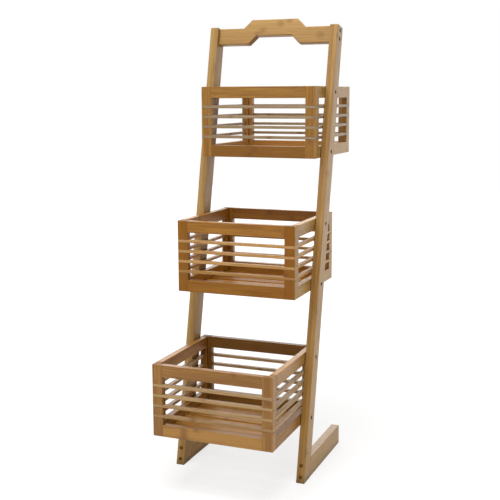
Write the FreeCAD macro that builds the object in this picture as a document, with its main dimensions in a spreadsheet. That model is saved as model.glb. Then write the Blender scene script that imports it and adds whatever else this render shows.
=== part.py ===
"""Three-tier basket storage rack of bamboo boards, in millimetres.

Two uprights lean back and carry three slatted crates, each stepped further back than the one
below. A handle bar joins the uprights at the top, and a foot runs back from each upright's sole.
X points to the right, Y to the back and Z up. The origin lies on the floor under the middle
of the rack.
"""
import FreeCAD
import Part
import Sketcher
import os

SIZES = {
    # crates: outer box and the boards of their panels
    "crate_width": 274.0,
    "crate_depth": 268.0,
    "crate_height": 158.0,
    "panel_thickness": 14.0,
    "stile_width": 24.0,
    "rail_height": 26.0,
    "tenon_length": 9.0,
    "tenon_thickness": 6.0,
    "tenon_height": 16.0,
    "slat_height": 6.5,
    "slat_thickness": 10.0,
    "slat_count": 4,
    "corner_flat": 1.6,
    "edge_radius": 1.0,
    # crate floors: boards in a rebate along the side panels' bottom rails
    "floor_board_width": 28.0,
    "floor_board_thickness": 5.0,
    "floor_board_count": 6,
    "floor_rebate": 7.0,
    "brad_diameter": 1.6,
    "brad_length": 10.0,
    "brad_head_diameter": 3.0,
    "brad_head_height": 0.8,
    # places of the crates on the uprights
    "lower_crate_height": 123.0,
    "tier_rise": 290.5,
    "back_margin": 22.0,
    "front_margin": 35.0,
    # uprights and feet
    "upright_width": 19.0,
    "upright_depth": 38.0,
    "upright_top_radius": 3.0,
    "lean_angle": 12.5,
    "foot_height": 45.0,
    "base_depth": 266.0,
    # handle bar: its ends, its raised crown and the arch under the crown
    "handle_clearance": 98.0,
    "handle_setback": 9.5,
    "handle_thickness": 19.0,
    "handle_height": 37.6,
    "handle_drop": 1.4,
    "crown_rise": 19.4,
    "crown_width": 112.0,
    "crown_run": 19.5,
    "arch_rise": 19.5,
    "arch_width": 85.0,
    "arch_run": 19.5,
    "handle_corner_radius": 4.0,
    "handle_edge_radius": 2.0,
    # screws: crates and handle take the short one, the feet the long one
    "screw_diameter": 4.0,
    "screw_length": 26.0,
    "foot_screw_length": 62.0,
    "screw_head_diameter": 8.0,
    "screw_head_height": 2.6,
    "drive_width": 1.2,
    "drive_span": 4.8,
    "drive_depth": 1.4,
    "recess_diameter": 9.0,
    "recess_depth": 3.8,
    "screw_clearance": 0.2,
    "handle_screw_spacing": 20.0,
    "foot_screw_spacing": 25.0,
    "foot_screw_height": 13.0,
}

# places that follow from the sizes, for a rack whose middle crate stands over the origin
LAYOUT = {
    "lean_tan": "tan(sizes.lean_angle)",
    "lean_cos": "cos(sizes.lean_angle)",
    "lean_sin": "sin(sizes.lean_angle)",
    "slat_gap": "(sizes.crate_height - 2 * sizes.rail_height - sizes.slat_count * sizes.slat_height)"
                " / (sizes.slat_count + 1)",
    "slat_pitch": "slat_gap + sizes.slat_height",
    "floor_run": "sizes.crate_depth - 2 * sizes.stile_width",
    "floor_pitch": "(floor_run - sizes.floor_board_width) / (sizes.floor_board_count - 1)",
    "floor_length": "sizes.crate_width - 2 * (sizes.panel_thickness - sizes.floor_rebate)",
    "upright_reach": "sizes.upright_depth / lean_cos",
    "lower_rim": "sizes.lower_crate_height + sizes.crate_height",
    "upper_base": "sizes.lower_crate_height + 2 * sizes.tier_rise",
    "upper_rim": "upper_base + sizes.crate_height",
    "lower_front": "lower_rim * lean_tan + upright_reach + sizes.back_margin - sizes.crate_depth",
    "upper_front": "upper_base * lean_tan - sizes.front_margin",
    "tier_setback": "(upper_front - lower_front) / 2",
    "toe": "-sizes.crate_depth / 2 - (upper_front + lower_front) / 2",
    "heel": "toe + sizes.base_depth",
    "handle_low": "(upper_rim + sizes.handle_clearance + sizes.handle_setback * lean_sin) / lean_cos",
    "handle_top": "handle_low + sizes.handle_height",
    "handle_mid": "handle_low + sizes.handle_height / 2",
    "handle_centre": "sizes.handle_setback + sizes.handle_thickness / 2",
    "upright_length": "handle_top + sizes.handle_drop",
    "screw_bite": "sizes.recess_depth + sizes.screw_length - sizes.upright_width",
    "upright_hole": "sizes.screw_diameter + 2 * sizes.screw_clearance",
}

TIERS = ("lower", "middle", "upper")

X_AXIS = FreeCAD.Vector(1, 0, 0)
Y_AXIS = FreeCAD.Vector(0, 1, 0)
Z_AXIS = FreeCAD.Vector(0, 0, 1)

# how far a cutting outline runs past the wood that it cuts away
BEYOND = "10"

doc = FreeCAD.newDocument("basket_rack")
sizes = doc.addObject("Spreadsheet::Sheet", "sizes")
for row, (name, number) in enumerate(SIZES.items(), start=1):
    sizes.set(f"A{row}", name)
    sizes.set(f"B{row}", str(number))
    sizes.setAlias(f"B{row}", name)
layout = doc.addObject("Spreadsheet::Sheet", "layout")
for row, (name, formula) in enumerate(LAYOUT.items(), start=1):
    layout.set(f"A{row}", name)
    layout.set(f"B{row}", "=" + formula)
    layout.setAlias(f"B{row}", name)
doc.recompute()

nodes = []
cuts = []


def value(text):
    """The number that an expression of sizes and places stands for."""
    return float(layout.evalExpression(text))


def new_body(label):
    """An empty sub-part, listed for writing under its label."""
    body = doc.addObject("PartDesign::Body", label)
    body.Label = label
    nodes.append(body)
    return body


def new_sketch(body, role, offset="0"):
    """A sketch on one of the body's own planes, moved along the plane's normal by offset."""
    sketch = body.newObject("Sketcher::SketchObject", f"{body.Name}_sketch")
    plane = next(item for item in body.Origin.OriginFeatures if item.Role == role)
    sketch.AttachmentSupport = (plane, [""])
    sketch.MapMode = "FlatFace"
    sketch.setExpression("AttachmentOffset.Base.z", offset)
    return sketch


def bind_point(sketch, line, end, x, y):
    """Holds one point of the sketch at x and y from the sketch's origin."""
    for kind, text in (("DistanceX", x), ("DistanceY", y)):
        index = sketch.addConstraint(Sketcher.Constraint(kind, -1, 1, line, end, value(text)))
        sketch.setExpression(f"Constraints[{index}]", text)


def outline(sketch, points):
    """A closed outline of straight lines through points that are given as expressions."""
    first = sketch.GeometryCount
    corners = []
    for x, y in points:
        corners.append(FreeCAD.Vector(value(x), value(y), 0))
    for start, end in zip(corners, corners[1:] + corners[:1]):
        sketch.addGeometry(Part.LineSegment(start, end))
    count = len(points)
    for step in range(count):
        after = first + (step + 1) % count
        sketch.addConstraint(Sketcher.Constraint("Coincident", first + step, 2, after, 1))
    for step, (x, y) in enumerate(points):
        bind_point(sketch, first + step, 1, x, y)


def rectangle(sketch, left, right, low, high):
    """A rectangle between two widths and two heights."""
    outline(sketch, [(left, low), (right, low), (right, high), (left, high)])


def circle(sketch, x, y, diameter):
    """A circle about a point."""
    centre = FreeCAD.Vector(value(x), value(y), 0)
    line = sketch.addGeometry(Part.Circle(centre, Z_AXIS, value(diameter) / 2))
    bind_point(sketch, line, 3, x, y)
    index = sketch.addConstraint(Sketcher.Constraint("Diameter", line, value(diameter)))
    sketch.setExpression(f"Constraints[{index}]", diameter)


def pad(body, sketch, length, turned=False):
    """Adds the sketch's outlines at a length; turned runs against the sketch's normal."""
    feature = body.newObject("PartDesign::Pad", f"{body.Name}_pad")
    feature.Profile = sketch
    feature.Reversed = turned
    feature.setExpression("Length", length)


def pocket(body, sketch, length, turned=False):
    """Cuts the sketch's outlines to a depth; turned runs along the sketch's normal."""
    before = body.Tip
    feature = body.newObject("PartDesign::Pocket", f"{body.Name}_pocket")
    feature.Profile = sketch
    feature.Reversed = turned
    feature.setExpression("Length", length)
    cuts.append((before, feature))


def ease(body, chosen, radius="sizes.edge_radius"):
    """Rounds the straight edges of the body that chosen(middle, direction) picks."""
    base = body.Tip
    base.recompute(True)
    names = []
    for number, edge in enumerate(base.Shape.Edges, start=1):
        straight = edge.Curve.TypeId == "Part::GeomLine"
        if straight and chosen(edge.CenterOfMass, edge.Curve.Direction):
            names.append(f"Edge{number}")
    feature = body.newObject("PartDesign::Fillet", f"{body.Name}_eased")
    feature.Base = (base, names)
    feature.setExpression("Radius", radius)


def runs(direction, axis):
    """Whether a direction is that of an axis, either way round."""
    return abs(direction.dot(axis)) > 0.999


def near(one, other):
    """Whether two lengths are the same."""
    return abs(one - other) < 0.01


def put(body, x="0", y="0", z="0"):
    """Ties the body's place to three expressions."""
    for axis, text in (("x", x), ("y", y), ("z", z)):
        body.setExpression(f"Placement.Base.{axis}", text)


# Crates

def tier_base(tier):
    """Height of a crate's lower edge."""
    return f"(sizes.lower_crate_height + {tier} * sizes.tier_rise)"


def tier_centre(tier):
    """Depth of a crate's middle."""
    return f"({tier - 1} * layout.tier_setback)"


def upright_middle(height):
    """Depth of the uprights' centre line at a height."""
    return f"(layout.toe + layout.upright_reach / 2 + ({height}) * layout.lean_tan)"


RAIL_BASES = {"bottom": "0", "top": "(sizes.crate_height - sizes.rail_height)"}


def stand_panel(body, tier, side):
    """Turns a panel's piece to its side of the crate and sets it there.

    A panel is drawn with X along it from its middle, Y inwards from its outer face and Z up
    from the crate's lower edge.
    """
    turn = {"front": 0, "right": 90, "back": 180, "left": -90}[side]
    body.Placement = FreeCAD.Placement(FreeCAD.Vector(), FreeCAD.Rotation(Z_AXIS, turn))
    across = {"left": "-sizes.crate_width / 2", "right": "sizes.crate_width / 2"}
    deep = {"front": "- sizes.crate_depth / 2", "back": "+ sizes.crate_depth / 2"}
    put(body, across.get(side, "0"), tier_centre(tier) + deep.get(side, ""), tier_base(tier))


def slat_rows(sketch, span):
    """One rectangle for each slat, over the whole span of a panel."""
    for row in range(int(value("sizes.slat_count"))):
        low = f"(sizes.rail_height + layout.slat_gap + {row} * layout.slat_pitch)"
        rectangle(sketch, f"-{span} / 2", f"{span} / 2", low, f"{low} + sizes.slat_height")


def panel_stiles(tier, side, span):
    """Two upright boards, mitred at the crate's corners, notched for the slats."""
    body = new_body(f"{TIERS[tier]}_{side}_stiles")
    plan = new_sketch(body, "XY_Plane")
    edge = f"({span} / 2 - sizes.stile_width)"
    for sign in ("-", ""):
        outline(plan, [
            (f"{sign}({span} / 2 - sizes.corner_flat)", "0"),
            (f"{sign}{edge}", "0"),
            (f"{sign}{edge}", "sizes.panel_thickness"),
            (f"{sign}({span} / 2 - sizes.panel_thickness)", "sizes.panel_thickness"),
            (f"{sign}({span} / 2 - sizes.corner_flat / 2)", "sizes.corner_flat / 2"),
        ])
    pad(body, plan, "sizes.crate_height")
    inner = value(edge)
    ease(body, lambda middle, direction: runs(direction, X_AXIS)
         or (runs(direction, Z_AXIS) and near(abs(middle.x), inner)))
    notches = new_sketch(body, "XZ_Plane")
    slat_rows(notches, span)
    pocket(body, notches, "sizes.slat_thickness")
    mortises = new_sketch(body, "XZ_Plane", "-(sizes.panel_thickness - sizes.tenon_thickness) / 2")
    for base in RAIL_BASES.values():
        low = f"({base} + (sizes.rail_height - sizes.tenon_height) / 2)"
        for sign in ("-", ""):
            rectangle(mortises, f"{sign}{edge}", f"{sign}({edge} + sizes.tenon_length)",
                      low, f"{low} + sizes.tenon_height")
    pocket(body, mortises, "sizes.tenon_thickness")
    stand_panel(body, tier, side)


def panel_rail(tier, side, span, name):
    """One level board between the stiles, with a stub tenon at each end."""
    body = new_body(f"{TIERS[tier]}_{side}_{name}_rail")
    base = RAIL_BASES[name]
    half = f"({span} / 2 - sizes.stile_width)"
    face = new_sketch(body, "XZ_Plane")
    rectangle(face, f"-{half}", half, base, f"{base} + sizes.rail_height")
    pad(body, face, "sizes.panel_thickness", turned=True)
    floored = name == "bottom" and side in ("left", "right")
    if floored:
        rebate = new_sketch(body, "YZ_Plane", f"-{half}")
        rectangle(rebate, "sizes.panel_thickness - sizes.floor_rebate",
                  f"sizes.panel_thickness + {BEYOND}", f"-{BEYOND}", "sizes.floor_board_thickness")
        pocket(body, rebate, f"2 * {half}", turned=True)
    crest = value(f"{base} + sizes.rail_height")
    ease(body, lambda middle, direction: runs(direction, X_AXIS)
         and (not floored or near(middle.y, 0) or near(middle.z, crest)))
    tenons = new_sketch(body, "XZ_Plane", "-(sizes.panel_thickness - sizes.tenon_thickness) / 2")
    low = f"({base} + (sizes.rail_height - sizes.tenon_height) / 2)"
    for sign in ("-", ""):
        rectangle(tenons, f"{sign}{half}", f"{sign}({half} + sizes.tenon_length)",
                  low, f"{low} + sizes.tenon_height")
    pad(body, tenons, "sizes.tenon_thickness", turned=True)
    if side in ("left", "right"):
        rail_holes(body, tier, side, base, floored)
    stand_panel(body, tier, side)


def rail_holes(body, tier, side, base, floored):
    """Pilot holes in a side rail: one for the upright's screw, and one for each floor board's brad."""
    height = f"({base} + sizes.rail_height / 2)"
    sign = "" if side == "right" else "-"
    deep = upright_middle(f"{tier_base(tier)} + {height}")
    pilot = new_sketch(body, "XZ_Plane")
    circle(pilot, f"{sign}({deep} - {tier_centre(tier)})", height, "sizes.screw_diameter")
    pocket(body, pilot, "layout.screw_bite")
    if floored:
        brads = new_sketch(body, "XY_Plane")
        for board in range(int(value("sizes.floor_board_count"))):
            circle(brads, floor_middle(board), "sizes.panel_thickness - sizes.floor_rebate / 2",
                   "sizes.brad_diameter")
        pocket(body, brads, "sizes.brad_length", turned=True)


def panel_slats(tier, side, span):
    """Thin level slats let into the stiles, mitred where they meet the next panel's slats."""
    body = new_body(f"{TIERS[tier]}_{side}_slats")
    face = new_sketch(body, "XZ_Plane")
    slat_rows(face, span)
    pad(body, face, "sizes.slat_thickness", turned=True)
    ease(body, lambda middle, direction: runs(direction, X_AXIS))
    mitres = new_sketch(body, "XY_Plane")
    for sign in ("-", ""):
        tip = f"({span} / 2 - sizes.corner_flat / 2)"
        outline(mitres, [
            (f"{sign}({span} / 2 - sizes.corner_flat - {BEYOND})", f"-{BEYOND}"),
            (f"{sign}({span} / 2 + {BEYOND})", f"-{BEYOND}"),
            (f"{sign}({span} / 2 + {BEYOND})", f"sizes.slat_thickness + {BEYOND}"),
            (f"{sign}({span} / 2 - sizes.slat_thickness - {BEYOND})", f"sizes.slat_thickness + {BEYOND}"),
            (f"{sign}{tip}", "sizes.corner_flat / 2"),
        ])
    pocket(body, mitres, "sizes.crate_height", turned=True)
    stand_panel(body, tier, side)


def floor_middle(board):
    """Place of a floor board's middle, from the middle of the crate."""
    return f"(-layout.floor_run / 2 + sizes.floor_board_width / 2 + {board} * layout.floor_pitch)"


def crate_floor(tier):
    """Floor boards from side to side, let into the rebates and holed for their brads."""
    body = new_body(f"{TIERS[tier]}_floor_boards")
    plan = new_sketch(body, "XY_Plane")
    holes = []
    for board in range(int(value("sizes.floor_board_count"))):
        middle = floor_middle(board)
        rectangle(plan, "-layout.floor_length / 2", "layout.floor_length / 2",
                  f"{middle} - sizes.floor_board_width / 2", f"{middle} + sizes.floor_board_width / 2")
        for sign in ("-", ""):
            holes.append((f"{sign}(layout.floor_length / 2 - sizes.floor_rebate / 2)", middle))
    pad(body, plan, "sizes.floor_board_thickness")
    ease(body, lambda middle, direction: runs(direction, X_AXIS))
    for diameter, depth in (("sizes.brad_head_diameter", "sizes.brad_head_height"),
                            ("sizes.brad_diameter", "sizes.floor_board_thickness")):
        sunk = new_sketch(body, "XY_Plane")
        for x, y in holes:
            circle(sunk, x, y, diameter)
        pocket(body, sunk, depth, turned=True)
    put(body, "0", tier_centre(tier), tier_base(tier))


for tier in range(len(TIERS)):
    for side, span in (("front", "sizes.crate_width"), ("back", "sizes.crate_width"),
                       ("left", "sizes.crate_depth"), ("right", "sizes.crate_depth")):
        panel_stiles(tier, side, span)
        panel_rail(tier, side, span, "top")
        panel_rail(tier, side, span, "bottom")
        panel_slats(tier, side, span)
    crate_floor(tier)


# Uprights, feet and handle bar

def lean_depth(run, inset):
    """Depth of a point at a run up the uprights' front edge and an inset square to it."""
    return f"(layout.toe + ({run}) * layout.lean_sin + ({inset}) * layout.lean_cos)"


def lean_height(run, inset):
    """Height of that point."""
    return f"(({run}) * layout.lean_cos - ({inset}) * layout.lean_sin)"


FOOT_SCREWS = ("sizes.foot_screw_height", "(sizes.foot_screw_height + sizes.foot_screw_spacing)")
HANDLE_SCREWS = ("(layout.handle_mid - sizes.handle_screw_spacing / 2)",
                 "(layout.handle_mid + sizes.handle_screw_spacing / 2)")


def side_screws():
    """Depth and height of every screw that enters an upright from its outer side."""
    found = []
    for tier in range(len(TIERS)):
        for base in RAIL_BASES.values():
            height = f"({tier_base(tier)} + {base} + sizes.rail_height / 2)"
            found.append((upright_middle(height), height))
    for run in HANDLE_SCREWS:
        found.append((lean_depth(run, "layout.handle_centre"), lean_height(run, "layout.handle_centre")))
    return found


def upright(name, sign):
    """A leaning board, soled flat, topped square, and holed for its screws."""
    body = new_body(name)
    left = sign == "-"
    profile = new_sketch(body, "YZ_Plane")
    top = "layout.upright_length"
    outline(profile, [
        ("layout.toe", "0"),
        ("layout.toe + layout.upright_reach", "0"),
        (lean_depth(top, "sizes.upright_depth"), lean_height(top, "sizes.upright_depth")),
        (lean_depth(top, "0"), lean_height(top, "0")),
    ])
    pad(body, profile, "sizes.upright_width", turned=left)
    half = value("layout.upright_length * layout.lean_cos / 2")
    ease(body, lambda middle, direction: runs(direction, X_AXIS) and middle.z > half,
         "sizes.upright_top_radius")
    lean = FreeCAD.Vector(0, value("layout.lean_sin"), value("layout.lean_cos"))
    ease(body, lambda middle, direction: runs(direction, lean))
    outer = f"{sign}sizes.upright_width"
    for diameter, depth in (("sizes.recess_diameter", "sizes.recess_depth"),
                            ("layout.upright_hole", "sizes.upright_width")):
        holes = new_sketch(body, "YZ_Plane", outer)
        for deep, height in side_screws():
            circle(holes, deep, height, diameter)
        pocket(body, holes, depth, turned=left)
    centre = f"{sign}sizes.upright_width / 2"
    for height in FOOT_SCREWS:
        seat = new_sketch(body, "XZ_Plane", "-layout.toe")
        circle(seat, centre, height, "sizes.recess_diameter")
        pocket(body, seat, f"{height} * layout.lean_tan + sizes.recess_depth")
        shaft = new_sketch(body, "XZ_Plane", "-layout.toe")
        circle(shaft, centre, height, "layout.upright_hole")
        pocket(body, shaft, f"{height} * layout.lean_tan + layout.upright_reach + {BEYOND}")
    put(body, f"{sign}sizes.crate_width / 2")


def foot(name, sign):
    """A board on edge, cut to the upright's lean at its front and drilled for two screws."""
    body = new_body(name)
    profile = new_sketch(body, "YZ_Plane")
    rear = "(layout.toe + layout.upright_reach)"
    outline(profile, [
        (rear, "0"),
        ("layout.heel", "0"),
        ("layout.heel", "sizes.foot_height"),
        (f"{rear} + sizes.foot_height * layout.lean_tan", "sizes.foot_height"),
    ])
    pad(body, profile, "sizes.upright_width", turned=sign == "-")
    heel = value("layout.heel")
    ease(body, lambda middle, direction: runs(direction, Y_AXIS) or near(middle.y, heel))
    for height in FOOT_SCREWS:
        pilot = new_sketch(body, "XZ_Plane", f"-{rear}")
        circle(pilot, f"{sign}sizes.upright_width / 2", height, "sizes.screw_diameter")
        pocket(body, pilot, f"{height} * layout.lean_tan + sizes.recess_depth"
                            " + sizes.foot_screw_length - layout.upright_reach")
    put(body, f"{sign}sizes.crate_width / 2")


def handle_bar():
    """A board between the uprights with a raised crown over an arch for the hand."""
    body = new_body("handle_bar")
    face = new_sketch(body, "XZ_Plane", "-sizes.handle_setback")
    low = "layout.handle_low"
    top = "layout.handle_top"
    right = [
        ("sizes.arch_width / 2", f"{low} + sizes.arch_rise"),
        ("(sizes.arch_width / 2 + sizes.arch_run)", low),
        ("sizes.crate_width / 2", low),
        ("sizes.crate_width / 2", top),
        ("(sizes.crown_width / 2 + sizes.crown_run)", top),
        ("sizes.crown_width / 2", f"{top} + sizes.crown_rise"),
    ]
    outline(face, right + [(f"-{x}", y) for x, y in reversed(right)])
    pad(body, face, "sizes.handle_thickness", turned=True)
    end = value("sizes.crate_width / 2")
    ease(body, lambda middle, direction: runs(direction, Y_AXIS) and not near(abs(middle.x), end),
         "sizes.handle_corner_radius")
    ease(body, lambda middle, direction: not runs(direction, Y_AXIS) and not near(abs(middle.x), end),
         "sizes.handle_edge_radius")
    for sign, turned in (("-", True), ("", False)):
        pilots = new_sketch(body, "YZ_Plane", f"{sign}sizes.crate_width / 2")
        for run in HANDLE_SCREWS:
            circle(pilots, "layout.handle_centre", run, "sizes.screw_diameter")
        pocket(body, pilots, "layout.screw_bite", turned=turned)
    lean = FreeCAD.Rotation(X_AXIS, -value("sizes.lean_angle"))
    body.Placement = FreeCAD.Placement(FreeCAD.Vector(), lean)
    body.setExpression("Placement.Rotation.Angle", "-sizes.lean_angle")
    put(body, "0", "layout.toe")


for side, sign in (("left", "-"), ("right", "")):
    upright(f"{side}_upright", sign)
    foot(f"{side}_foot", sign)
handle_bar()


# Screws and brads

def screw(name, length):
    """A screw that points down from the top of its head, with a cross recess for the driver."""
    body = doc.addObject("PartDesign::Body", name)
    seat = new_sketch(body, "XY_Plane", "-sizes.screw_head_height")
    circle(seat, "0", "0", "sizes.screw_head_diameter")
    pad(body, seat, "sizes.screw_head_height")
    shank = new_sketch(body, "XY_Plane", "-sizes.screw_head_height")
    circle(shank, "0", "0", "sizes.screw_diameter")
    pad(body, shank, length, turned=True)
    drive = new_sketch(body, "XY_Plane")
    span = "sizes.drive_span / 2"
    wide = "sizes.drive_width / 2"
    outline(drive, [
        (f"-{span}", f"-{wide}"), (f"-{wide}", f"-{wide}"), (f"-{wide}", f"-{span}"),
        (wide, f"-{span}"), (wide, f"-{wide}"), (span, f"-{wide}"),
        (span, wide), (wide, wide), (wide, span),
        (f"-{wide}", span), (f"-{wide}", wide), (f"-{span}", wide),
    ])
    pocket(body, drive, "sizes.drive_depth")
    return body


def brad():
    """A small nail that points up from the underside of its head."""
    body = doc.addObject("PartDesign::Body", "brad_shape")
    for diameter, length in (("sizes.brad_head_diameter", "sizes.brad_head_height"),
                             ("sizes.brad_diameter", "sizes.brad_length")):
        disc = new_sketch(body, "XY_Plane")
        circle(disc, "0", "0", diameter)
        pad(body, disc, length)
    return body


def group(label, shape, spots):
    """One sub-part of like fasteners: copies of a shape, each turned and set at its spot."""
    feature = doc.addObject("Part::Feature", label)
    feature.Label = label
    copies = []
    for spot, turn in spots:
        copy = shape.copy()
        copy.Placement = FreeCAD.Placement(spot, turn)
        copies.append(copy)
    feature.Shape = Part.makeCompound(copies)
    nodes.append(feature)


short_screw = screw("short_screw_shape", "sizes.screw_length")
long_screw = screw("long_screw_shape", "sizes.foot_screw_length")
floor_brad = brad()
doc.recompute()

sunk_depth = value("sizes.recess_depth - sizes.screw_head_height")
outer_face = value("sizes.crate_width / 2 + sizes.upright_width") - sunk_depth
sideways = []
for deep, height in side_screws():
    for sign in (-1, 1):
        spot = FreeCAD.Vector(sign * outer_face, value(deep), value(height))
        sideways.append((spot, FreeCAD.Rotation(Y_AXIS, sign * 90)))
group("assembly_screws", short_screw.Shape, sideways)

backwards = []
for height in FOOT_SCREWS:
    for sign in (-1, 1):
        across = sign * value("(sizes.crate_width + sizes.upright_width) / 2")
        deep = value(f"layout.toe + {height} * layout.lean_tan") + sunk_depth
        spot = FreeCAD.Vector(across, deep, value(height))
        backwards.append((spot, FreeCAD.Rotation(X_AXIS, 90)))
group("foot_screws", long_screw.Shape, backwards)

upwards = []
for tier in range(len(TIERS)):
    for board in range(int(value("sizes.floor_board_count"))):
        for sign in (-1, 1):
            across = sign * value("(layout.floor_length - sizes.floor_rebate) / 2")
            deep = value(f"{tier_centre(tier)} + {floor_middle(board)}")
            spot = FreeCAD.Vector(across, deep, value(tier_base(tier)))
            upwards.append((spot, FreeCAD.Rotation()))
group("floor_brads", floor_brad.Shape, upwards)

doc.recompute()
for item in doc.Objects:
    if "Invalid" in item.State or "Error" in item.State:
        raise RuntimeError(f"{item.Label} did not build: {item.State}")
for before, cut in cuts:
    if cut.Shape.Volume >= before.Shape.Volume:
        raise RuntimeError(f"{cut.Label} cuts nothing")
for node in nodes:
    if node.Shape.isNull() or not node.Shape.isValid():
        raise RuntimeError(f"{node.Label} has no valid shape")

os.makedirs("parts", exist_ok=True)
for node in nodes:
    node.Shape.exportStep(f"parts/{node.Label}.step")
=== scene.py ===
"""Three-tier bamboo basket rack: finish, floor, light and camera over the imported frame."""
import math

import bpy
from mathutils import Euler, Matrix, Vector

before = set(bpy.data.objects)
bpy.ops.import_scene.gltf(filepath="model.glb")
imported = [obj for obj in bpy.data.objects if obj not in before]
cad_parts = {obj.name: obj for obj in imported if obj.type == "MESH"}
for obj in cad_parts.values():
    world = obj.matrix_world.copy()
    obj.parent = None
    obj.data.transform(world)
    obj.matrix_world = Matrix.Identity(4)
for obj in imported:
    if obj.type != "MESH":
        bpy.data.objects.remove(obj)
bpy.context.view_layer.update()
bpy.ops.object.select_all(action="DESELECT")


# Uprights: two boards of laminated bamboo, planed square, eased along their edges and varnished.
# They lean back on soles cut level, and carry the crates, the feet and the handle on screws.
LEAN = math.radians(12.5)
QUARTER_TURN = math.radians(90)
UPRIGHT_PALE = (0.485, 0.275, 0.072)
UPRIGHT_DEEP = (0.335, 0.165, 0.032)
UPRIGHT_KNUCKLE = (0.2, 0.08, 0.015)


def add_node(tree, kind, inputs=None, **settings):
    """A shader node with its settings; each input takes a value or another node's output."""
    made = tree.nodes.new(kind)
    for name, setting in settings.items():
        setattr(made, name, setting)
    for key, value in (inputs or {}).items():
        if isinstance(value, bpy.types.NodeSocket):
            tree.links.new(value, made.inputs[key])
        else:
            made.inputs[key].default_value = value
    return made


def reckon(tree, operation, *values):
    """The result of one Math node."""
    return add_node(tree, "ShaderNodeMath", dict(enumerate(values)), operation=operation).outputs["Value"]


def reckon_vector(tree, operation, *values):
    """The outputs of one Vector Math node, Vector and Value."""
    return add_node(tree, "ShaderNodeVectorMath", dict(enumerate(values)), operation=operation).outputs


def fade(tree, value, start, end, low=0.0, high=1.0):
    """A value eased from low to high while another goes from start to end."""
    inputs = {"Value": value, "From Min": start, "From Max": end, "To Min": low, "To Max": high}
    return add_node(tree, "ShaderNodeMapRange", inputs, interpolation_type="SMOOTHSTEP").outputs["Result"]


def swing(tree, noise, width):
    """Noise spread over a width, half of it below zero."""
    return reckon(tree, "MULTIPLY_ADD", noise, width, -width / 2)


# the places of a Mix node's colour sockets, which share their names with others
MIX_SHARE, MIX_UNDER, MIX_OVER = 0, 6, 7
MIX_RESULT = 2


def tint(tree, share, under, over):
    """One colour laid over another by a share."""
    return add_node(tree, "ShaderNodeMix", {MIX_SHARE: share, MIX_UNDER: under, MIX_OVER: over},
                    data_type="RGBA").outputs[MIX_RESULT]


def stain(tree, mask, share, under, over):
    """One colour laid over another where a mask is, at a share of its strength."""
    return tint(tree, reckon(tree, "MULTIPLY", mask, share), under, over)


def stretched_noise(tree, grain, along, across, detail, harshness=0.55):
    """Noise drawn out along the grain, at so many waves a metre each way."""
    scaled = reckon_vector(tree, "MULTIPLY", grain, (along, across, across))["Vector"]
    return add_node(tree, "ShaderNodeTexNoise", {"Vector": scaled, "Scale": 1.0, "Detail": detail,
                                                 "Roughness": harshness}).outputs["Fac"]


VALUE, VECTOR, COLOUR = "NodeSocketFloat", "NodeSocketVector", "NodeSocketColor"


def open_group(name, inputs, outputs):
    """A new node group with its named sockets, its input node and its output node."""
    tree = bpy.data.node_groups.new(name, "ShaderNodeTree")
    for label, kind in inputs.items():
        tree.interface.new_socket(name=label, in_out="INPUT", socket_type=kind)
    for label, kind in outputs.items():
        tree.interface.new_socket(name=label, in_out="OUTPUT", socket_type=kind)
    return tree, tree.nodes.new("NodeGroupInput").outputs, tree.nodes.new("NodeGroupOutput").inputs


# glued bamboo strips: each strip has its own shade, fibres along it and a knuckle now and then
strips, given, result = open_group(
    "bamboo_strips",
    {"Grain": VECTOR, "Facing": VECTOR, "Strip Width": VALUE, "Strip Depth": VALUE,
     "Knuckle Spacing": VALUE, "Pole": VALUE, "Spread": VALUE, "Tone": VALUE,
     "Pale": COLOUR, "Deep": COLOUR, "Knuckle": COLOUR},
    {"Colour": COLOUR, "Roughness": VALUE, "Height": VALUE})
place = add_node(strips, "ShaderNodeSeparateXYZ", {"Vector": given["Grain"]}).outputs
layer_number = reckon(strips, "FLOOR", reckon(strips, "DIVIDE", place["Z"], given["Strip Depth"]))
stagger = add_node(strips, "ShaderNodeTexWhiteNoise", {"W": layer_number},
                   noise_dimensions="1D").outputs["Value"]
strip = reckon(strips, "ADD", reckon(strips, "DIVIDE", place["Y"], given["Strip Width"]), stagger)
strip_number = reckon(strips, "FLOOR", strip)
strip_name = add_node(strips, "ShaderNodeCombineXYZ", {"X": strip_number, "Y": layer_number,
                                                       "Z": given["Pole"]}).outputs["Vector"]
luck = add_node(strips, "ShaderNodeTexWhiteNoise", {"Vector": strip_name},
                noise_dimensions="3D").outputs["Color"]
chance = add_node(strips, "ShaderNodeSeparateColor", {"Color": luck}).outputs

# the shade: fine streaks and a slow drift along the fibres, which start elsewhere in each strip
FIBRE_SHIFT = (3.0, 3.0, 3.0)
STREAK_SHARE = 0.62
MIDDLE = 0.5
own_grain = reckon_vector(strips, "MULTIPLY_ADD", luck, FIBRE_SHIFT, given["Grain"])["Vector"]
streaks = stretched_noise(strips, own_grain, along=12.0, across=560.0, detail=6.0, harshness=0.64)
drift = stretched_noise(strips, own_grain, along=5.0, across=60.0, detail=2.0)
shade = reckon(strips, "ADD", reckon(strips, "MULTIPLY", streaks, STREAK_SHARE),
               reckon(strips, "MULTIPLY", drift, 1.0 - STREAK_SHARE))
own_shade = reckon(strips, "MULTIPLY", reckon(strips, "SUBTRACT", chance["Red"], MIDDLE), given["Spread"])
shade = reckon(strips, "ADD", reckon(strips, "ADD", shade, own_shade), given["Tone"])
colour = tint(strips, fade(strips, shade, start=0.35, end=0.65), given["Deep"], given["Pale"])

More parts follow.
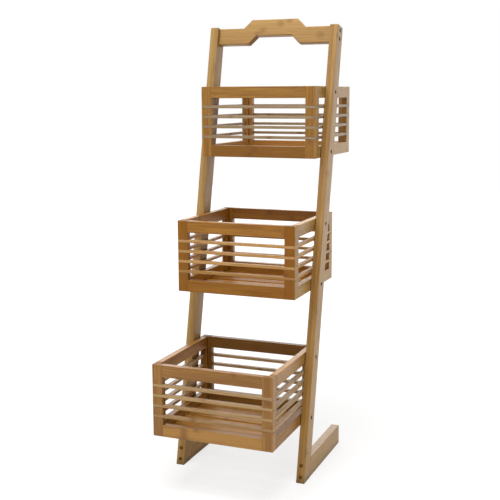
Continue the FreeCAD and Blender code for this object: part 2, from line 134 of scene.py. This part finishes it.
# the dark marks: short fibre bundles, knuckles with a soft halo and a thin ring, sawn ends and glue seams
KNUCKLE_SCATTER = 7.0
KNUCKLE_BOW = 0.012
bundles = stretched_noise(strips, own_grain, along=48.0, across=1900.0, detail=2.0)
dash = fade(strips, bundles, start=0.54, end=0.68)
run = reckon(strips, "ADD", reckon(strips, "DIVIDE", place["X"], given["Knuckle Spacing"]),
             reckon(strips, "MULTIPLY", chance["Green"], KNUCKLE_SCATTER))
offset = reckon(strips, "MULTIPLY", reckon(strips, "SUBTRACT", reckon(strips, "FRACT", run), MIDDLE),
                given["Knuckle Spacing"])
offset = reckon(strips, "ABSOLUTE", reckon(strips, "ADD", offset, swing(strips, drift, KNUCKLE_BOW)))
marked = fade(strips, chance["Blue"], start=0.35, end=0.7)
halo = fade(strips, offset, start=0.0, end=0.014, low=1.0, high=0.0)
halo = reckon(strips, "MULTIPLY", halo, marked)
ring = fade(strips, offset, start=0.0004, end=0.0022, low=1.0, high=0.0)
ring = reckon(strips, "MULTIPLY", ring, marked)
facing = add_node(strips, "ShaderNodeSeparateXYZ", {"Vector": given["Facing"]}).outputs
end_grain = fade(strips, reckon(strips, "ABSOLUTE", facing["X"]), start=0.4, end=0.75)
seam = reckon(strips, "ABSOLUTE", reckon(strips, "SUBTRACT", reckon(strips, "FRACT", strip), MIDDLE))
seam = fade(strips, seam, start=0.475, end=0.498)
for mask, share in ((dash, 0.34), (halo, 0.42), (ring, 0.3), (end_grain, 0.45), (seam, 0.3)):
    colour = stain(strips, mask, share, colour, given["Knuckle"])
strips.links.new(colour, result["Colour"])

# the surface: streaks take a polish, sawn ends stay dull, rings stand up, bundles and seams lie deeper
WOOD_ROUGHNESS, STREAK_POLISH, END_DULLNESS = 0.52, 0.18, 0.2
DASH_SINK, RING_RISE, SEAM_SINK = 0.35, 0.7, 0.5
roughness = reckon(strips, "MULTIPLY_ADD", streaks, -STREAK_POLISH, WOOD_ROUGHNESS)
roughness = reckon(strips, "ADD", roughness, reckon(strips, "MULTIPLY", end_grain, END_DULLNESS))
strips.links.new(roughness, result["Roughness"])
relief = reckon(strips, "MULTIPLY_ADD", dash, -DASH_SINK, streaks)
relief = reckon(strips, "ADD", relief, reckon(strips, "MULTIPLY", ring, RING_RISE))
relief = reckon(strips, "SUBTRACT", relief, reckon(strips, "MULTIPLY", seam, SEAM_SINK))
strips.links.new(relief, result["Height"])

# a knuckle that shows right through a board: a soft dark smudge, drawn out along or across the grain
SMUDGE_RAGGEDNESS = 0.9
smudge, given, result = open_group(
    "knuckle_smudge", {"Grain": VECTOR, "Centre": VECTOR, "Size": VECTOR}, {"Mark": VALUE})
apart = reckon_vector(smudge, "SUBTRACT", given["Grain"], given["Centre"])["Vector"]
apart = reckon_vector(smudge, "DIVIDE", apart, given["Size"])["Vector"]
apart = reckon_vector(smudge, "LENGTH", apart)["Value"]
rags = stretched_noise(smudge, given["Grain"], along=90.0, across=420.0, detail=3.0)
apart = reckon(smudge, "ADD", apart, swing(smudge, rags, SMUDGE_RAGGEDNESS))
smudge.links.new(fade(smudge, apart, start=0.15, end=1.1, low=1.0, high=0.0), result["Mark"])

# edges that hands have rubbed, with a painted highlight: where the surface turns a corner, the varnish is
# thinner and the wood is painted paler, which also stands in for the light that the rounded edge catches
edges, given, result = open_group("worn_and_highlit_edges", {"Reach": VALUE}, {"Edge": VALUE})
round_normal = add_node(edges, "ShaderNodeBevel", {"Radius": given["Reach"]}, samples=6).outputs["Normal"]
true_normal = edges.nodes.new("ShaderNodeNewGeometry").outputs["Normal"]
turned = reckon_vector(edges, "DOT_PRODUCT", round_normal, true_normal)["Value"]
edges.links.new(fade(edges, turned, start=0.995, end=0.85), result["Edge"])

# joints, notches and screw holes: painted shade, the wood darkened where nearby surfaces shelter it from
# the light
corners, given, result = open_group("painted_corner_shade", {"Reach": VALUE}, {"Corner": VALUE})
shelter = add_node(corners, "ShaderNodeAmbientOcclusion", {"Distance": given["Reach"]},
                   samples=8).outputs["AO"]
corners.links.new(fade(corners, shelter, start=0.72, end=0.48), result["Corner"])

# wood that stands on the floor: painted shade, darkest at the floor and fading out, with ragged edges, over
# the lowest part of it
FLOOR_SHADE_RAGGEDNESS = 0.8
floor_shade, given, result = open_group("painted_floor_shade", {"Place": VECTOR, "Reach": VALUE}, {"Mark": VALUE})
height = add_node(floor_shade, "ShaderNodeSeparateXYZ", {"Vector": given["Place"]}).outputs["Z"]
cloud = add_node(floor_shade, "ShaderNodeTexNoise", {"Vector": given["Place"], "Scale": 110.0,
                                              "Detail": 3.0}).outputs["Fac"]
height = reckon(floor_shade, "ADD", reckon(floor_shade, "DIVIDE", height, given["Reach"]),
                swing(floor_shade, cloud, FLOOR_SHADE_RAGGEDNESS))
floor_shade.links.new(fade(floor_shade, height, start=0.1, end=1.0, low=1.0, high=0.0), result["Mark"])

VARNISH = 0.5
OPAQUE = 1.0
# the colour and the reach of the painted shade at the floor
FLOOR_SHADE_COLOUR, FLOOR_SHADE_REACH = (0.07, 0.05, 0.032), 0.016
# worn edges with their painted highlight: how far they reach, their share, and how much paler than the pale
# shade
EDGE_REACH, EDGE_SHARE, EDGE_PALER = 0.0022, 0.22, 1.25
# the painted corner shade: how far it reaches, its share, and its colour as a part of the knuckle colour
CORNER_REACH, CORNER_SHARE, CORNER_DARKER = 0.006, 0.92, 0.25


def bamboo(name, grain_turn, pale, deep, knuckle, strip_width, strip_depth, knuckle_spacing, pole,
           spread=0.16, tone=0.0, varnish=VARNISH, smudges=(), floor_shaded=0.0):
    """Varnished bamboo whose grain runs along X once the board is turned by grain_turn.

    The pole that the strips were split from settles their marks, the spread how far their shades
    differ, and the tone makes the board paler or darker. Each smudge has its centre on the rack, its
    half sizes along and across the grain, and its share of colour. A board with floor_shaded gets that
    share of painted shade at the floor, darker towards its lowest part.
    """
    material = bpy.data.materials.new(name)
    material.use_nodes = True
    tree = material.node_tree
    spot = tree.nodes.new("ShaderNodeTexCoord").outputs
    grain, facing = (
        add_node(tree, "ShaderNodeMapping", {"Vector": spot[key], "Rotation": grain_turn}).outputs["Vector"]
        for key in ("Object", "Normal"))
    wood = add_node(tree, "ShaderNodeGroup", {
        "Grain": grain, "Facing": facing, "Strip Width": strip_width, "Strip Depth": strip_depth,
        "Knuckle Spacing": knuckle_spacing, "Pole": pole, "Spread": spread, "Tone": tone,
        "Pale": (*pale, OPAQUE), "Deep": (*deep, OPAQUE), "Knuckle": (*knuckle, OPAQUE)},
        node_tree=strips).outputs
    colour = wood["Colour"]
    for blot in smudges:
        mark = add_node(tree, "ShaderNodeGroup", {
            "Grain": grain, "Centre": Euler(grain_turn).to_matrix() @ Vector(blot["centre"]),
            "Size": (blot["along"], blot["across"], blot["across"])}, node_tree=smudge).outputs["Mark"]
        colour = stain(tree, mark, blot["share"], colour, (*knuckle, OPAQUE))
    # painted shade towards the floor
    if floor_shaded:
        mark = add_node(tree, "ShaderNodeGroup", {"Place": spot["Object"], "Reach": FLOOR_SHADE_REACH},
                        node_tree=floor_shade).outputs["Mark"]
        colour = stain(tree, mark, floor_shaded, colour, (*FLOOR_SHADE_COLOUR, OPAQUE))
    # worn edges painted paler, which also stands in for the highlight along them
    edge = add_node(tree, "ShaderNodeGroup", {"Reach": EDGE_REACH}, node_tree=edges).outputs["Edge"]
    worn_edge_highlight = [min(1.0, part * EDGE_PALER) for part in pale]
    colour = stain(tree, edge, EDGE_SHARE, colour, (*worn_edge_highlight, OPAQUE))
    # painted shade in joints, notches and screw recesses, darkened towards the knuckle colour
    corner = add_node(tree, "ShaderNodeGroup", {"Reach": CORNER_REACH}, node_tree=corners).outputs["Corner"]
    corner_shade_colour = [part * CORNER_DARKER for part in knuckle]
    colour = stain(tree, corner, CORNER_SHARE, colour, (*corner_shade_colour, OPAQUE))
    bump = add_node(tree, "ShaderNodeBump", {"Strength": 0.35, "Distance": 0.0004,
                                             "Height": wood["Height"]})
    shader = tree.nodes["Principled BSDF"].inputs
    tree.links.new(colour, shader["Base Color"])
    tree.links.new(wood["Roughness"], shader["Roughness"])
    tree.links.new(bump.outputs["Normal"], shader["Normal"])
    shader["Specular IOR Level"].default_value = varnish
    shader["Coat Weight"].default_value = 0.06
    shader["Coat Roughness"].default_value = 0.25
    return material


def finish(material, node):
    """Gives a material to a piece of the frame."""
    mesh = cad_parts[node].data
    mesh.materials.clear()
    mesh.materials.append(material)


# the pale and the deep shade of each board
UPRIGHT_SHADES = {"left": ((0.47, 0.287, 0.095), (0.325, 0.173, 0.043)),
                  "right": (UPRIGHT_PALE, UPRIGHT_DEEP)}
UPRIGHT_TONES = {"left": 0.024, "right": -0.002}
UPRIGHT_POLES = {"left": 2198, "right": 2115}
UPRIGHT_SMUDGES = {"left": [dict(centre=(-0.139, 0.079, 0.907), along=0.03, across=0.005, share=0.4),
                            dict(centre=(-0.139, 0.015, 0.62), along=0.055, across=0.006, share=0.42),
                            dict(centre=(-0.139, -0.053, 0.315), along=0.06, across=0.006, share=0.36)]}
LEG_VARNISH = {"left": 0.26, "right": VARNISH}
for side in ("left", "right"):
    finish(bamboo(f"{side}_upright_bamboo", (LEAN, QUARTER_TURN, 0.0), *UPRIGHT_SHADES[side],
                  UPRIGHT_KNUCKLE, strip_width=0.019, strip_depth=0.0064, knuckle_spacing=0.31,
                  pole=UPRIGHT_POLES[side], spread=0.26, tone=UPRIGHT_TONES[side],
                  varnish=LEG_VARNISH[side], smudges=UPRIGHT_SMUDGES.get(side, ()), floor_shaded=0.5),
           f"{side}_upright")


# Feet: bamboo boards on edge that run back from the soles, cut at the front to the uprights' lean
# and held by two long screws each.
ALONG_Y = (0.0, 0.0, -QUARTER_TURN)
FOOT_TONES = {"left": 0.12, "right": 0.007}
FOOT_POLES = {"left": 1802, "right": 1203}
for side in ("left", "right"):
    finish(bamboo(f"{side}_foot_bamboo", ALONG_Y, UPRIGHT_PALE, UPRIGHT_DEEP, UPRIGHT_KNUCKLE,
                  strip_width=0.0064, strip_depth=0.0225, knuckle_spacing=0.26, pole=FOOT_POLES[side],
                  tone=FOOT_TONES[side], varnish=LEG_VARNISH[side], floor_shaded=0.4),
           f"{side}_foot")


# Crate stiles: short upright bamboo boards, two to a panel, mitred together at the crate's corners
# and notched for the slats. The boards of one crate are split from different poles.
TIERS = ("lower", "middle", "upper")
SIDES = ("front", "back", "left", "right")
CRATE_SHADES = {"lower": ((0.46, 0.225, 0.043), (0.27, 0.112, 0.016)),
                "middle": ((0.47, 0.212, 0.022), (0.28, 0.102, 0.005)),
                "upper": ((0.455, 0.222, 0.034), (0.265, 0.108, 0.011))}
# painted light and shade: the lower back panel is darker, for the shade inside the lower crate; the upper
# back and left panels are paler, for the light inside the upper crate; the middle and upper right panels
# take the uprights' paler colours, for the sheen on the right sides
PAINTED_LIGHT_PANEL_SHADES = {"lower_back": ((0.35, 0.178, 0.037), (0.205, 0.09, 0.014)),
                "middle_right": (UPRIGHT_PALE, UPRIGHT_DEEP),
                "upper_back": ((0.55, 0.265, 0.062), (0.33, 0.13, 0.02)),
                "upper_left": ((0.56, 0.29, 0.075), (0.34, 0.15, 0.03)),
                "upper_right": (UPRIGHT_PALE, UPRIGHT_DEEP)}
PANEL_KNUCKLE = (0.17, 0.06, 0.01)
PANEL_VARNISH = {"lower_back": 0.2, "lower_left": 0.2, "middle_front": 0.29, "middle_left": 0.2}
# the boards' own tones, except the upper back and left stiles, which are painted paler for the light inside
# the upper crate
STILE_TONES_AND_PAINTED_LIGHT = {"lower_front": -0.075, "lower_left": -0.04, "lower_right": 0.045, "middle_front": -0.2,
               "middle_back": 0.04, "upper_front": -0.05, "upper_back": 0.12, "upper_left": 0.18,
               "upper_right": 0.067}
FIRST_STILE_POLE = 4
STILE_POLES = {"lower_front": 404, "lower_right": 2807, "middle_front": 7008, "upper_front": 2412,
               "upper_right": 1015}
STILE_SMUDGES = {
    "lower_front": [dict(centre=(0.128, -0.267, 0.227), along=0.012, across=0.02, share=0.5)],
    "upper_front": [dict(centre=(0.128, -0.001, 0.757), along=0.008, across=0.005, share=0.4)]}
panels = [(tier, side, f"{tier}_{side}") for tier in TIERS for side in SIDES]
for number, (tier, side, panel) in enumerate(panels):
    finish(bamboo(f"{panel}_stile_bamboo", (0.0, QUARTER_TURN, 0.0),
                  *PAINTED_LIGHT_PANEL_SHADES.get(panel, CRATE_SHADES[tier]), PANEL_KNUCKLE,
                  strip_width=0.014, strip_depth=0.012, knuckle_spacing=0.21,
                  pole=STILE_POLES.get(panel, FIRST_STILE_POLE + number),
                  tone=STILE_TONES_AND_PAINTED_LIGHT.get(panel, 0.0), varnish=PANEL_VARNISH.get(panel, VARNISH),
                  smudges=STILE_SMUDGES.get(panel, ())),
           f"{panel}_stiles")


# Crate rails: the level bamboo boards along the top and bottom of each panel, planed to the stiles'
# thickness and tenoned into them.
ALONG_X = (0.0, 0.0, 0.0)
LEVEL_GRAIN = {"front": ALONG_X, "back": ALONG_X, "left": ALONG_Y, "right": ALONG_Y}
# the boards' own tones, except the lower back rails, which are painted darker for the shade in the lower
# crate, and the upper back and left bottom rails, which are painted paler for the light inside the upper
# crate
RAIL_TONES_AND_PAINTED_LIGHT = {"lower_front_top": -0.06, "lower_front_bottom": 0.053, "lower_back_top": -0.14,
              "lower_back_bottom": -0.08, "lower_left_top": -0.032, "lower_right_top": 0.04,
              "lower_right_bottom": -0.015, "middle_front_top": -0.067, "middle_front_bottom": -0.09,
              "middle_back_top": -0.07, "middle_left_top": -0.04, "middle_right_top": 0.09,
              "middle_right_bottom": 0.13, "upper_front_top": -0.09, "upper_front_bottom": -0.185,
              "upper_back_bottom": 0.17, "upper_left_bottom": 0.18, "upper_right_top": 0.08,
              "upper_right_bottom": 0.125}
FIRST_RAIL_POLE = 20
RAIL_POLES = {"lower_front_top": 6621, "lower_front_bottom": 820, "lower_back_top": 1623,
              "lower_left_top": 1625, "lower_right_top": 827, "lower_right_bottom": 826,
              "middle_front_top": 5029, "middle_front_bottom": 7028, "middle_back_top": 831,
              "middle_right_top": 835, "middle_right_bottom": 1634, "upper_front_top": 1037,
              "upper_front_bottom": 2236, "upper_back_bottom": 638, "upper_right_bottom": 2042}
RAIL_VARNISH = {"lower_right_bottom": 0.28, "middle_front_top": VARNISH, "middle_right_bottom": 0.4,
                "upper_front_bottom": 0.4}
RAIL_SMUDGES = {
    "lower_front_bottom": [dict(centre=(-0.064, -0.267, 0.131), along=0.013, across=0.036, share=0.62)]}
ROWS = ("bottom", "top")
for number, (tier, side, panel) in enumerate(panels):
    for row_number, row in enumerate(ROWS):
        board = f"{panel}_{row}"
        own_pole = FIRST_RAIL_POLE + len(ROWS) * number + row_number
        finish(bamboo(f"{board}_rail_bamboo", LEVEL_GRAIN[side],
                      *PAINTED_LIGHT_PANEL_SHADES.get(panel, CRATE_SHADES[tier]), PANEL_KNUCKLE,
                      strip_width=0.007, strip_depth=0.013, knuckle_spacing=0.24,
                      pole=RAIL_POLES.get(board, own_pole), tone=RAIL_TONES_AND_PAINTED_LIGHT.get(board, 0.0),
                      varnish=RAIL_VARNISH.get(board, PANEL_VARNISH.get(panel, VARNISH)),
                      smudges=RAIL_SMUDGES.get(board, ())),
               f"{board}_rail")


# Crate slats: thin strips split from bamboo, four to a panel, let into the stiles' notches flush
# with their faces and glued there. They have a thinner varnish than the boards.
SLAT_SHADES = {"lower": ((0.52, 0.335, 0.155), (0.355, 0.207, 0.081)),
               "middle": ((0.59, 0.33, 0.12), (0.405, 0.205, 0.062)),
               "upper": ((0.445, 0.335, 0.205), (0.31, 0.211, 0.115))}
# painted light: the right panels' slats are paler for the light and sheen from the right, and the upper
# left ones for the light inside the upper crate
SLAT_PAINTED_LIGHT_TONES = {"lower_right": 0.08, "middle_right": 0.1, "upper_left": 0.08, "upper_right": 0.1}
SLAT_VARNISH = 0.2
FIRST_SLAT_POLE = 60
for number, (tier, side, panel) in enumerate(panels):
    finish(bamboo(f"{panel}_slat_bamboo", LEVEL_GRAIN[side], *SLAT_SHADES[tier], PANEL_KNUCKLE,
                  strip_width=0.02, strip_depth=0.0195, knuckle_spacing=0.2,
                  pole=FIRST_SLAT_POLE + number, tone=SLAT_PAINTED_LIGHT_TONES.get(panel, 0.0), varnish=SLAT_VARNISH),
           f"{panel}_slats")


# Crate floors: thin bamboo boards laid from side to side with gaps between them, in rebates of the
# side panels' bottom rails, and held there by brads. They are hardly varnished.
FLOOR_VARNISH = 0.15
FIRST_FLOOR_POLE = 80
for number, tier in enumerate(TIERS):
    finish(bamboo(f"{tier}_floor_bamboo", ALONG_X, *CRATE_SHADES[tier], PANEL_KNUCKLE,
                  strip_width=0.0192, strip_depth=0.01, knuckle_spacing=0.23,
                  pole=FIRST_FLOOR_POLE + number, varnish=FLOOR_VARNISH),
           f"{tier}_floor_boards")


# Handle bar: one bamboo board sawn to a raised crown over an arch for the hand, its edges rounded
# over, screwed between the tops of the uprights.
HANDLE_PALE = (0.53, 0.31, 0.087)
HANDLE_DEEP = (0.38, 0.2, 0.045)
HANDLE_POLE = 4095
HANDLE_SMUDGES = [dict(centre=(-0.028, 0.107, 0.991), along=0.014, across=0.011, share=0.42),
                  dict(centre=(0.015, 0.11, 1.005), along=0.014, across=0.012, share=0.42),
                  dict(centre=(0.113, 0.104, 0.977), along=0.015, across=0.013, share=0.46)]
finish(bamboo("handle_bamboo", (LEAN, 0.0, 0.0), HANDLE_PALE, HANDLE_DEEP, UPRIGHT_KNUCKLE,
              strip_width=0.012, strip_depth=0.019, knuckle_spacing=0.42, pole=HANDLE_POLE,
              smudges=HANDLE_SMUDGES),
       "handle_bar")


# Screws and brads: blackened steel screws sunk in round recesses hold the crates and the handle,
# longer bronzed ones the feet, and bright drawn brads are driven up into the floors.
SKIN_UNEVENNESS = 0.3


def metal(name, colour, streak_colour, roughness, bareness, polish):
    """Metal with an uneven skin, bare or under a dull coat."""
    material = bpy.data.materials.new(name)
    material.use_nodes = True
    tree = material.node_tree
    shader = tree.nodes["Principled BSDF"].inputs
    spot = tree.nodes.new("ShaderNodeTexCoord").outputs["Object"]
    cloud = add_node(tree, "ShaderNodeTexNoise", {"Vector": spot, "Scale": 900.0,
                                                  "Detail": 3.0}).outputs["Fac"]
    skin = tint(tree, fade(tree, cloud, start=0.35, end=0.7), (*colour, OPAQUE), (*streak_colour, OPAQUE))
    tree.links.new(skin, shader["Base Color"])
    tree.links.new(reckon(tree, "MULTIPLY_ADD", cloud, SKIN_UNEVENNESS, roughness - SKIN_UNEVENNESS / 2),
                   shader["Roughness"])
    shader["Metallic"].default_value = bareness
    shader["Specular IOR Level"].default_value = polish
    return material


finish(metal("black_screw", colour=(0.008, 0.006, 0.004), streak_colour=(0.026, 0.018, 0.011),
             roughness=0.6, bareness=0.0, polish=0.1),
       "assembly_screws")
finish(metal("bronzed_screw", colour=(0.19, 0.095, 0.012), streak_colour=(0.32, 0.175, 0.03),
             roughness=0.5, bareness=0.4, polish=0.2),
       "foot_screws")
finish(metal("bright_brad", colour=(0.5, 0.49, 0.47), streak_colour=(0.38, 0.36, 0.33),
             roughness=0.35, bareness=1.0, polish=0.5),
       "floor_brads")


# Studio: a matt white floor that keeps the rack's shadow, in a white surround. Both look white to the
# camera and in reflections, but light the rack only weakly, so that the lamps shade it.
FLOOR_HALF = 6.0
FLOOR_GLOW = 1.18
WHITE = (1.0, 1.0, 1.0, OPAQUE)
bpy.ops.mesh.primitive_plane_add(size=2 * FLOOR_HALF, location=(0.0, 0.0, 0.0))
floor = bpy.context.active_object
floor.name = "studio_floor"
floor_white = bpy.data.materials.new("studio_white")
floor_white.use_nodes = True
tree = floor_white.node_tree
paint = tree.nodes["Principled BSDF"]
paint.inputs["Base Color"].default_value = (0.85, 0.85, 0.85, OPAQUE)
paint.inputs["Roughness"].default_value = 0.9
rays = tree.nodes.new("ShaderNodeLightPath").outputs
spot = tree.nodes.new("ShaderNodeTexCoord").outputs["Object"]
depth = add_node(tree, "ShaderNodeSeparateXYZ", {"Vector": spot}).outputs["Y"]
behind = fade(tree, depth, start=-0.4, end=0.2)
reach = reckon_vector(tree, "LENGTH", spot)["Value"]
looked_at = reckon(tree, "MULTIPLY", rays["Is Camera Ray"],
                   fade(tree, reach, start=0.4, end=1.5, low=0.6, high=1.0))
mirrored = reckon(tree, "MULTIPLY", rays["Is Glossy Ray"],
                  fade(tree, reach, start=0.1, end=0.5, low=0.2, high=1.0))
seen = reckon(tree, "MAXIMUM", looked_at, reckon(tree, "MULTIPLY", mirrored, behind))
glow = add_node(tree, "ShaderNodeEmission", {"Color": WHITE, "Strength": FLOOR_GLOW})
blend = add_node(tree, "ShaderNodeMixShader", {"Fac": seen, 1: paint.outputs["BSDF"],
                                              2: glow.outputs["Emission"]})
tree.links.new(blend.outputs["Shader"], tree.nodes["Material Output"].inputs["Surface"])
floor.data.materials.append(floor_white)

SURROUND_LIGHT = 0.175
world = bpy.data.worlds.new("studio_surround")
world.use_nodes = True
tree = world.node_tree
rays = tree.nodes.new("ShaderNodeLightPath").outputs
way = tree.nodes.new("ShaderNodeTexCoord").outputs["Generated"]
toward = add_node(tree, "ShaderNodeSeparateXYZ", {"Vector": way}).outputs
behind = reckon(tree, "MULTIPLY", fade(tree, toward["Y"], start=-0.3, end=0.4),
                fade(tree, toward["X"], start=0.25, end=0.7, low=1.0, high=0.2))
mirrored = reckon(tree, "MAXIMUM", rays["Is Glossy Ray"], rays["Is Transmission Ray"])
seen = reckon(tree, "MAXIMUM", rays["Is Camera Ray"], reckon(tree, "MULTIPLY", mirrored, behind))
strength = reckon(tree, "MULTIPLY_ADD", seen, 1.0 - SURROUND_LIGHT, SURROUND_LIGHT)
tree.nodes["Background"].inputs["Color"].default_value = WHITE
tree.links.new(strength, tree.nodes["Background"].inputs["Strength"])
bpy.context.scene.world = world


# Lamps: soft rectangular ones that the camera doesn't see. The one overhead does most, one in front
# fills the shadows, and the ones at the side and behind lift the edges of the boards.
def lamp(name, place, aim, width, height, power):
    """A soft rectangular lamp that faces a point."""
    light = bpy.data.lights.new(name, "AREA")
    light.shape = "RECTANGLE"
    light.size = width
    light.size_y = height
    light.energy = power
    made = bpy.data.objects.new(name, light)
    made.location = place
    made.rotation_euler = (Vector(aim) - Vector(place)).to_track_quat("-Z", "Y").to_euler()
    made.visible_camera = False
    bpy.context.scene.collection.objects.link(made)


lamp("front_lamp", (-0.2, -2.3, 1.95), aim=(0.0, 0.0, 0.6), width=2.6, height=1.7, power=23.0)
lamp("overhead_lamp", (0.0, -0.8, 3.6), aim=(0.0, 0.0, 0.5), width=2.4, height=2.4, power=95.0)
lamp("side_lamp", (2.6, -0.8, 1.0), aim=(0.0, 0.0, 0.5), width=2.0, height=2.0, power=9.0)
lamp("backdrop_lamp", (0.0, 2.4, 1.1), aim=(0.0, 0.0, 0.9), width=3.6, height=2.2, power=15.0)
lamp("rim_lamp", (-0.9, 2.3, 1.2), aim=(0.0, 0.0, 0.6), width=2.4, height=1.8, power=20.0)


# Camera: a short telephoto at about the height of the upper crate's rim, to the rack's right, turned
# back to the rack and tipped down. The film is 36 mm wide.
CAMERA_PLACE = (0.7712, -1.961, 0.8452)
CAMERA_YAW = math.radians(21.945)
CAMERA_DIP = math.radians(9.491)
CAMERA_ROLL = math.radians(-0.23)
FILM_WIDTH = 36.0
LENS = 67.17
camera = bpy.data.objects.new("camera", bpy.data.cameras.new("camera"))
camera.data.sensor_width = FILM_WIDTH
camera.data.lens = LENS
camera.matrix_world = (Matrix.Translation(CAMERA_PLACE) @ Matrix.Rotation(CAMERA_YAW, 4, "Z")
                       @ Matrix.Rotation(QUARTER_TURN - CAMERA_DIP, 4, "X")
                       @ Matrix.Rotation(CAMERA_ROLL, 4, "Z"))
bpy.context.scene.collection.objects.link(camera)
bpy.context.scene.camera = camera
bpy.context.scene.view_settings.view_transform = "Standard"
